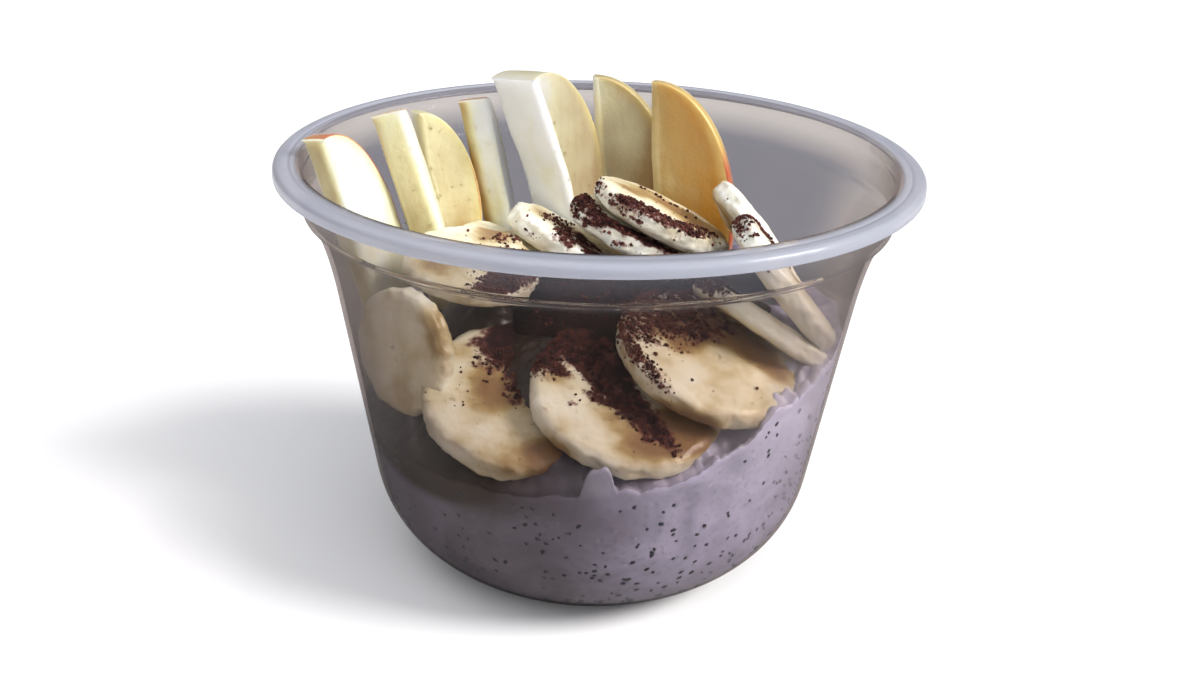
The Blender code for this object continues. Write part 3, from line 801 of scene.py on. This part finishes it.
def build_apple(entry, material):
    """A half-moon slice with a thin curved skin, wet rubbed edges and a slightly hollowed core edge."""
    name, top, lean, turn, tilt, length, depth, thickness = entry
    bm = bmesh.new()
    bmesh.ops.create_grid(bm, x_segments=APPLE_ACROSS, y_segments=APPLE_ALONG, size=0.5)
    made = bmesh.ops.extrude_face_region(bm, geom=bm.faces[:])
    raised = [item for item in made["geom"] if isinstance(item, bmesh.types.BMVert)]
    bmesh.ops.translate(bm, vec=(0, 0, 1), verts=raised)
    sides = [edge for edge in bm.edges if abs(edge.verts[0].co.z - edge.verts[1].co.z) > 0.5]
    bmesh.ops.subdivide_edges(bm, edges=sides, cuts=APPLE_CUTS, use_grid_fill=True)
    bmesh.ops.recalc_face_normals(bm, faces=bm.faces)
    seed = Vector(top)
    cut_edge, at_top, at_foot, to_skin, dull, red, bright, bare = APPLE_TONES[name]
    skin, tone, painted_shade_grey, blush = [], [], [], []
    # u runs from the cut edge to the skin, v through the slice and w down its length, all from 0 to 1
    for vert in bm.verts:
        u = vert.co.x + 0.5
        u = u * u * (3 - 2 * u) * 0.5 + u * 0.5
        w = vert.co.y + 0.5
        v = 0.5 - 0.5 * math.cos(math.pi * vert.co.z)
        arc = math.pi * (0.012 + 0.976 * w)
        reach = depth * math.sin(arc)
        z = -length / 2 + length / 2 * math.cos(arc)
        side = (v - 0.5) * thickness
        below = thickness * (0.5 - abs(v - 0.5))
        soft = min(1.5, thickness * 0.3, reach * 0.4)
        x = reach * u
        x += rounding(below, soft) * max(0.0, 1 - u * 2)
        x -= rounding(below, min(0.4, soft)) * max(0.0, u * 2 - 1)
        x += (1 - (2 * v - 1) ** 2) * 0.3 * smoothstep(0.75, 1.0, u)
        p = Vector((x, side, z))
        core = 0.9 * hump(z, -length / 2, length * 0.16) * (1 - smoothstep(0.0, 0.16, u))
        wave = 0.2 * noise.noise(p * 0.16 + seed) + 0.07 * noise.noise(p * 0.6 + seed)
        bend = 0.3 * math.sin(math.pi * w) * (u - 0.4)
        rough = 0.12 * noise.noise(Vector((9.0, side * 0.5, z * 0.3)) + seed)
        x += core + rough * (1 - smoothstep(0.0, 0.2, u))
        edge = 1 - smoothstep(0.0, 0.12, min(u, 1 - u))
        vert.co = (x, side + wave * (1 - edge * 0.6) + bend, z)
        skin.append((u - 1) * max(reach, 3.0) - 2.4 * bare * (1 - smoothstep(0.10, 0.42, w)))
        face = at_top + (at_foot - at_top) * smoothstep(0.05, 0.85, w) + to_skin * u * u
        # The cut edge takes its own tone past its bright side, partly painted shade; dull is painted shade
        # that greys the face
        edge_cut = 1 - smoothstep(0.02, 0.10, u)
        lit = 0.2 + 0.8 * smoothstep(bright - 0.1, bright + 0.25, v)
        tone.append(face + (cut_edge - face) * edge_cut * lit)
        painted_shade_grey.append(dull * (1 - edge_cut))
        blush.append(red)
    put(bm, seed - Vector((0.0, 0.0, APPLE_SINK)), ((turn, "Z"), (-lean, "X"), (tilt, "Y")))
    values = {"skin": skin, "tone": tone, "dull": painted_shade_grey, "red": blush}
    return finish_piece(bm, name + "_slice", material, [name], values, 75)


def heap_surface(x, y, reach):
    """Top of the powder: a low uneven dome that thins out towards its edge."""
    foot = oats_height(x, y) + HEAP_EDGE_LIFT
    lumps = 0.8 * noise.noise(Vector((x * 0.25, y * 0.25, 9.1)))
    dome = HEAP_TOP - 3.0 * reach * reach + lumps
    return max(foot + 0.8 * (1 - reach ** 6), foot + (dome - foot) * (1 - reach ** 4))


def build_heap(material):
    """The heaped cacao powder in the dip between the front and the back slices."""
    section = [(i / HEAP_RINGS, 1.0) for i in range(HEAP_RINGS + 1)]
    section += [(1.0 - i / 8, 0.0) for i in range(8)] + [(0.0, 0.0)]
    bm = spun(section, HEAP_STEPS)
    for vert in bm.verts:
        x, y, z = vert.co
        reach = min(math.hypot(x, y), 1.0)
        turn = math.atan2(y, x)
        wander = 1 + 0.08 * math.sin(3 * turn + 1.0) + 0.05 * math.sin(7 * turn)
        px = HEAP_CENTRE[0] + HEAP_REACH[0] * reach * wander * math.cos(turn)
        py = HEAP_CENTRE[1] + HEAP_REACH[1] * reach * wander * math.sin(turn)
        if z > 0.5:
            p = Vector((px, py, 4.0))
            crumbs = 0.55 * abs(noise.noise(p * 0.8)) + 0.4 * abs(noise.noise(p * 1.9))
            crumbs += 0.2 * noise.noise(p * 4.5)
            height = heap_surface(px, py, reach) - 0.35 + crumbs * (1 - reach ** 3)
        else:
            height = oats_height(px, py) + 0.2
        vert.co = (px, py, height)
    bmesh.ops.recalc_face_normals(bm, faces=bm.faces)
    return finish_piece(bm, "cacao_mound", material, ["cacao_heap"], {}, 180)


def build_crumbs(landing, material):
    """Loose cacao crumbs dropped from above on to whatever lies there, few of them on the heap."""
    rng = np.random.default_rng(77)
    shapes = small_shapes(8, 1, (1.0, 0.85, 0.7), 0.9, rng)
    trees = {}
    for piece in landing:
        mesh = piece.data
        points = [v.co / MM for v in mesh.vertices]
        polygons = [tuple(face.vertices) for face in mesh.polygons]
        trees[piece.name] = BVHTree.FromPolygons(points, polygons)
    places = []
    for _ in range(CRUMB_TRIES):
        if len(places) == MOST_CRUMBS:
            break
        x, y = rng.uniform(-42, 42), rng.uniform(-44, 32)
        chance = rng.uniform()
        spin = rng.uniform(0, math.tau)
        size = 0.24 + 0.66 * rng.uniform() ** 3
        which = rng.integers(len(shapes))
        # Thin powder shows few crumbs, steep places hold none and the heap shows few
        thick = sprinkle(x, y)
        if chance > thick * thick * 0.7:
            continue
        best = None
        for name, tree in trees.items():
            hit, normal, _, _ = tree.ray_cast(Vector((x, y, ABOVE_ALL)), Vector((0, 0, -1)))
            if hit is not None and (best is None or hit.z > best[0].z):
                best = (hit, normal, name)
        if best is None or best[1].z < 0.25:
            continue
        hit, normal, lying_on = best
        if lying_on == "cacao_mound" and chance > 0.12:
            continue
        middle = np.array(hit + normal * size * 0.18)
        places.append((which, facing(normal, spin) * size, middle))
    return many(shapes, places, "cacao_crumbs", material)


def build_beads(wedges, material):
    """Beads of syrup and juice that cling to the front of the cut faces of the apple."""
    rng = np.random.default_rng(19)
    shapes = small_shapes(4, 2, (1.0, 1.0, 0.55), 0.15, rng)
    places = []
    for piece in wedges:
        faces = [
            face for face in piece.data.polygons
            if BEADS_LOW < face.center.z < BEADS_HIGH and face.normal.y < -0.15 and abs(face.normal.z) < 0.5
        ]
        # The order of a mesh's faces can change from run to run, and a sorted list can't
        faces.sort(key=lambda face: tuple(face.center))
        for _ in range(BEADS_ON_A_SLICE):
            face = faces[rng.integers(len(faces))]
            size = 0.35 + 0.6 * rng.uniform() ** 2
            middle = np.array(face.center) / MM
            places.append((rng.integers(len(shapes)), facing(face.normal, 0.0) * size, middle))
    return many(shapes, places, "syrup_beads", material)


def clear_syrup():
    """Thin clear syrup, wet and bright."""
    material, tree = new_material("clear syrup")
    cover(tree, {
        "Base Color": linear("#fffaf0"), "Roughness": 0.05, "IOR": 1.4, "Transmission Weight": 1.0,
    })
    return material


def polypropylene():
    """Thermoformed clear polypropylene: smoky glassy walls, darker edge-on, with painted shade on the back
    half of the wall; and a milky rim that is partly a painted reflection, with a painted highlight line at
    the step.
    """
    material, tree = new_material("clear polypropylene, thermoformed")
    coords = object_places(tree)
    bump = relief(tree, clouds(tree, coords, 60.0, 2.0), 0.1, 0.0006)
    edge_on = add_node(tree, "ShaderNodeLayerWeight", {"Blend": 0.35})
    tint = blend(tree, edge_on.outputs["Facing"], "#c7c0ba", "#9e938a")
    # Painted shade: the back half of the wall above the oats is tinted darker
    back_shaded_tint = blend(tree, carried(tree, "painted_back_shade"), tint, "#757379")
    # The index lies below the plastic's 1.49, so that the flared wall doesn't mirror the white floor
    # as a veil over the food
    glassy = add_node(tree, "ShaderNodeBsdfPrincipled", {
        "Base Color": back_shaded_tint, "Roughness": 0.03, "IOR": 1.13, "Transmission Weight": 1.0,
        "Normal": bump,
    })
    milky = add_node(tree, "ShaderNodeBsdfPrincipled", {
        "Base Color": linear("#bdc2d0"), "Roughness": 0.2, "IOR": 1.49, "Normal": bump,
    })
    through = add_node(tree, "ShaderNodeBsdfTranslucent", {"Color": linear("#c3c7d2")})
    haze = mixed(tree, 0.3, milky, through)
    grazing = ranged(tree, edge_on.outputs["Facing"], 0.3, 0.75, 0.0, 0.85)
    edge = add_node(tree, "ShaderNodeBsdfTransparent", {"Color": linear("#b3aba8")})
    sheet = mixed(tree, grazing, glassy, edge)
    # Milky at the rim, partly a painted reflection, and along the step, where it is a painted highlight
    # line
    wall = mixed(tree, carried(tree, "milk"), sheet, haze)
    rays = add_node(tree, "ShaderNodeLightPath")
    clear = add_node(tree, "ShaderNodeBsdfTransparent", {"Color": linear("#f6f4f6")})
    # Light passes the wall freely on its way to the food
    cover(tree, mixed(tree, rays.outputs["Is Shadow Ray"], wall, clear))
    return material


def oats_and_chia():
    """Soaked oats stirred with berries and milk: lavender grey, marbled, wet."""
    material, tree = new_material("soaked oat pudding")
    coords = object_places(tree)
    stir = add_node(tree, "ShaderNodeTexNoise", {
        "Vector": coords, "Scale": 55.0, "Detail": 4.0, "Roughness": 0.55, "Distortion": 1.2,
    })
    flake = add_node(tree, "ShaderNodeTexVoronoi", {"Vector": coords, "Scale": 330.0, "Randomness": 1.0})
    grain = clouds(tree, coords, 900.0, 3.0)
    stirred = ranged(tree, stir.outputs["Fac"], 0.36, 0.64)
    body = blend(tree, stirred, "#848095", "#a7a4bd")
    pale = ranged(tree, flake.outputs["Distance"], 0.15, 0.0, 0.0, 0.5)
    flaked = blend(tree, pale, body, "#c3bfcb")
    specked = blend(tree, ranged(tree, grain, 0.55, 0.75, 0.0, 0.45), flaked, "#6c6574")
    # Paler at the front right, partly froth and partly painted light, and along the smear
    froth_and_light_share = calc(tree, "MULTIPLY", carried(tree, "pale"), 0.9)
    paler_froth_and_light = blend(tree, froth_and_light_share, specked, "#dadaf0")
    # Darker where the mesh says so: syrup brown and painted shade at the left, painted shade in the pocket
    # and the dip, cacao under the powder
    colour = blend(tree, carried(tree, "steeped_and_shaded"), paler_froth_and_light, "#2e1e17")
    bump = relief(tree, grain, 0.2, 0.0003)
    cover(tree, {
        "Base Color": colour, "Roughness": 0.42, "IOR": 1.38,
        "Subsurface Weight": 0.25, "Subsurface Radius": (1.0, 0.7, 0.7), "Subsurface Scale": 0.0015,
        "Coat Weight": 0.15, "Coat Roughness": 0.18, "Normal": bump,
    })
    return material


def chia_hull():
    """Soaked chia: slate-dark mottled hulls under a thin gel."""
    material, tree = new_material("soaked chia hull")
    coords = object_places(tree)
    colour = blend(tree, ranged(tree, clouds(tree, coords, 1800.0, 2.0), 0.4, 0.65), "#14151d", "#3a3c4b")
    cover(tree, {"Base Color": colour, "Roughness": 0.3, "IOR": 1.45})
    return material


def banana_flesh():
    """Ripe banana flesh: cream, fibrous towards the side, brown where syrup lies, with painted shadow where
    slices overlap, dusted with cacao.
    """
    material, tree = new_material("ripe banana flesh")
    coords = object_places(tree)
    cut = add_node(tree, "ShaderNodeAttribute", attribute_name="cut").outputs["Vector"]
    parts = add_node(tree, "ShaderNodeSeparateXYZ", {0: cut})
    flat = add_node(tree, "ShaderNodeCombineXYZ", {0: parts.outputs[0], 1: parts.outputs[1]})
    length = add_node(tree, "ShaderNodeVectorMath", {0: flat.outputs[0]}, operation="LENGTH")
    reach = length.outputs["Value"]
    round_turn = calc(tree, "ARCTAN2", parts.outputs[1], parts.outputs[0])
    streak_place = add_node(tree, "ShaderNodeCombineXYZ", {0: round_turn, 1: reach, 2: parts.outputs[2]})
    drawn_out = {0: streak_place.outputs[0], 1: (9.0, 1.6, 0.8)}
    streaky = add_node(tree, "ShaderNodeVectorMath", drawn_out, operation="MULTIPLY")
    streak = add_node(tree, "ShaderNodeTexNoise", {
        "Vector": streaky.outputs[0], "Scale": 1.6, "Detail": 4.0, "Roughness": 0.6,
    })
    cloud = clouds(tree, coords, 130.0, 4.0)
    fine = clouds(tree, coords, 1100.0, 4.0)
    inner = ranged(tree, reach, 0.3, 0.62, 0.75, 0.0)
    inner_broken = calc(tree, "MULTIPLY", inner, streak.outputs["Fac"])
    base = blend(tree, inner_broken, "#ece8d8", "#d8cb9e")
    fleshy = blend(tree, ranged(tree, cloud, 0.4, 0.7, 0.0, 0.5), base, "#dfd6b2")
    edged = blend(tree, ranged(tree, reach, 0.93, 0.99, 0.0, 0.8), fleshy, "#f0efe6")
    # Seed pockets: three dark dotted lobes round the middle
    lobes = calc(tree, "MULTIPLY", round_turn, 3.0)
    lobe = calc(tree, "COSINE", calc(tree, "ADD", lobes, 0.6))
    lobe_in = ranged(tree, lobe, 0.1, 0.9)
    ring_in = ranged(tree, reach, 0.28, 0.14)
    ring_out = ranged(tree, reach, 0.05, 0.12)
    seed_lobes = calc(tree, "MULTIPLY", calc(tree, "MULTIPLY", ring_in, ring_out), lobe_in)
    seed_grain = ranged(tree, fine, 0.48, 0.62, 0.0, 0.55)
    seed_dots = calc(tree, "MULTIPLY", seed_lobes, seed_grain)
    seeded = blend(tree, seed_dots, edged, "#6d5238")
    # Amber where syrup lies and the slice has ripened, and painted shadow where slices overlap
    browned_and_shaded = uneven(tree, carried(tree, "browned_and_shaded"), cloud, 1.5)
    brown = ranged(tree, browned_and_shaded, 0.05, 0.75, 0.0, 0.92)
    ripe = ramp(tree, browned_and_shaded, ((0.3, "#d2c4a0"), (0.62, "#b39a62"), (1.0, "#80582a")))
    syrup_and_shade_toned = blend(tree, brown, seeded, ripe)
    # Powder: clumps over a fine grain, reddish where it lies thin
    clumped = uneven(tree, carried(tree, "dusted"), clouds(tree, coords, 520.0, 3.0), 1.5)
    dusted = uneven(tree, clumped, fine, 1.5)
    dust = ranged(tree, dusted, 0.4, 0.98)
    powder = blend(tree, ranged(tree, dusted, 0.6, 1.35), "#86524a", "#2c1a1b")
    colour = blend(tree, dust, syrup_and_shade_toned, powder)
    rough = ranged(tree, dust, 0.0, 1.0, 0.38, 0.9)
    shine = ranged(tree, dust, 0.0, 1.0, 0.5, 0.1)
    wet = ranged(tree, dust, 0.0, 1.0, 0.25, 0.0)
    heights = calc(tree, "MULTIPLY_ADD", dust, 1.5, fine)
    bump = relief(tree, heights, 0.6, 0.0002)
    cover(tree, {
        "Base Color": colour, "Roughness": rough, "IOR": 1.4,
        "Subsurface Weight": 0.3, "Subsurface Radius": (1.0, 0.85, 0.6), "Subsurface Scale": 0.002,
        "Specular IOR Level": shine, "Coat Weight": wet, "Coat Roughness": 0.2,
        "Normal": bump,
    })
    return material


def apple_flesh():
    """Fresh cut apple: wet pale flesh with fine fibres, and a thin red and yellow skin."""
    material, tree = new_material("cut apple with skin")
    coords = object_places(tree)
    grow = add_node(tree, "ShaderNodeVectorMath", {0: coords, 1: (1.0, 1.0, 0.25)}, operation="MULTIPLY")
    fibre = clouds(tree, grow.outputs[0], 260.0, 4.0)
    cloud = clouds(tree, coords, 80.0, 3.0)
    fine = clouds(tree, coords, 1400.0, 2.0)
    blotched = uneven(tree, carried(tree, "tone"), cloud, 0.5)
    streaked = uneven(tree, blotched, fibre, 0.3)
    tones = ((0.0, "#f5fafe"), (0.26, "#ece8bc"), (0.6, "#bd9e62"), (1.0, "#c8881e"))
    toned = ramp(tree, streaked, tones)
    # Painted shade: the face greyed towards a dull grey-brown as far as the slice says
    painted_shade_grey = blend(tree, carried(tree, "dull"), toned, "#857a72")
    skin = carried(tree, "skin")
    under_skin = blend(tree, ranged(tree, skin, -2.6, -0.3, 0.0, 0.5), painted_shade_grey, "#d3c888")
    patches = clouds(tree, coords, 90.0, 3.0)
    blush = ranged(tree, calc(tree, "ADD", patches, carried(tree, "red")), 0.75, 1.25)
    peel = blend(tree, blush, "#cdb073", "#b04a34")
    colour = blend(tree, ranged(tree, skin, -0.22, -0.03), under_skin, peel)
    heights = calc(tree, "MULTIPLY_ADD", fibre, 2.0, fine)
    bump = relief(tree, heights, 0.35, 0.0003)
    cover(tree, {
        "Base Color": colour, "Roughness": 0.28, "IOR": 1.38,
        "Subsurface Weight": 0.55, "Subsurface Radius": (1.0, 0.95, 0.85), "Subsurface Scale": 0.004,
        "Coat Weight": 0.5, "Coat Roughness": 0.12, "Normal": bump,
    })
    return material


def cacao():
    """Raw cacao powder: nearly black brown with a dull reddish bloom."""
    material, tree = new_material("raw cacao powder")
    coords = object_places(tree)
    grain = clouds(tree, coords, 1500.0, 4.0)
    colour = blend(tree, ranged(tree, grain, 0.35, 0.7), "#130b0d", "#35211f")
    bump = relief(tree, grain, 0.8, 0.0003)
    cover(tree, {"Base Color": colour, "Roughness": 0.9, "Specular IOR Level": 0.1, "Normal": bump})
    return material


def cacao_crumb():
    """Loose cacao crumbs: the same powder with more light in it, so a redder brown."""
    material, tree = new_material("loose cacao crumbs")
    coords = object_places(tree)
    colour = blend(tree, ranged(tree, clouds(tree, coords, 700.0, 2.0), 0.35, 0.65), "#2c1716", "#62382f")
    cover(tree, {"Base Color": colour, "Roughness": 0.85, "Specular IOR Level": 0.15})
    return material


def build_floor():
    """A plain pale sweep for the cup to stand on."""
    bm = bmesh.new()
    bmesh.ops.create_grid(bm, x_segments=2, y_segments=2, size=3.0)
    mesh = bpy.data.meshes.new("floor")
    bm.to_mesh(mesh)
    bm.free()
    material, tree = new_material("matt white paper")
    coords = object_places(tree)
    bump = relief(tree, clouds(tree, coords, 900.0, 2.0), 0.1, 0.0001)
    cover(tree, {"Base Color": linear("#f4f4f4"), "Roughness": 0.9, "Normal": bump})
    mesh.materials.append(material)
    floor = into_scene("floor", mesh)


def add_light(name, azimuth, elevation, breadth, share, colour):
    """A distant soft light that gives the floor a share of its brightness; angles in degrees."""
    light = bpy.data.lights.new(name, "SUN")
    rise = math.radians(elevation)
    light.angle = math.radians(breadth)
    light.energy = share * math.pi / math.sin(rise)
    light.color = linear(colour)[:3]
    lamp = into_scene(name, light)
    turn = math.radians(azimuth)
    toward = Vector((math.cos(turn) * math.cos(rise), math.sin(turn) * math.cos(rise), math.sin(rise)))
    lamp.location = toward
    lamp.rotation_euler = toward.to_track_quat("Z", "Y").to_euler()


def light_the_studio():
    """Window light from the right, soft fills and an even pale sky."""
    for entry in LIGHTS:
        add_light(*entry)
    world = bpy.data.worlds.new("studio")
    world.use_nodes = True
    sky = world.node_tree.nodes["Background"]
    sky.inputs["Color"].default_value = linear(SKY_COLOUR)
    sky.inputs["Strength"].default_value = SKY_STRENGTH
    bpy.context.scene.world = world


def place_camera():
    """Stands the camera where the photo was taken from."""
    elevation = math.radians(CAMERA_DOWN)
    roll = math.radians(CAMERA_LEAN)
    back = Vector((0.0, -math.cos(elevation), math.sin(elevation)))
    level_up = Vector((0.0, math.sin(elevation), math.cos(elevation)))
    right = Vector((1.0, 0.0, 0.0)) * math.cos(roll) + level_up * math.sin(roll)
    up = level_up * math.cos(roll) - Vector((1.0, 0.0, 0.0)) * math.sin(roll)
    place = Vector(CAMERA_AIM) + back * CAMERA_AWAY
    data = bpy.data.cameras.new("camera")
    data.sensor_width = SENSOR_WIDTH
    data.lens = LENS
    data.clip_start = 0.01
    data.clip_end = 20.0
    camera = into_scene("camera", data)
    turn = Matrix((right, up, back)).transposed().to_4x4()
    camera.matrix_world = Matrix.Translation(place * MM) @ turn
    bpy.context.scene.camera = camera


def main():
    place_camera()
    light_the_studio()
    build_floor()
    build_cup(polypropylene())
    pudding = build_oats(oats_and_chia())
    build_chia(chia_hull())
    flesh = banana_flesh()
    slices = [build_banana(entry, flesh) for entry in BANANAS]
    fruit = apple_flesh()
    wedges = [build_apple(entry, fruit) for entry in APPLES]
    build_beads(wedges[1:5], clear_syrup())
    powder = cacao()
    mound = build_heap(powder)
    build_crumbs([pudding, mound] + slices + wedges, cacao_crumb())
    bpy.context.scene.view_settings.view_transform = "Standard"


main()
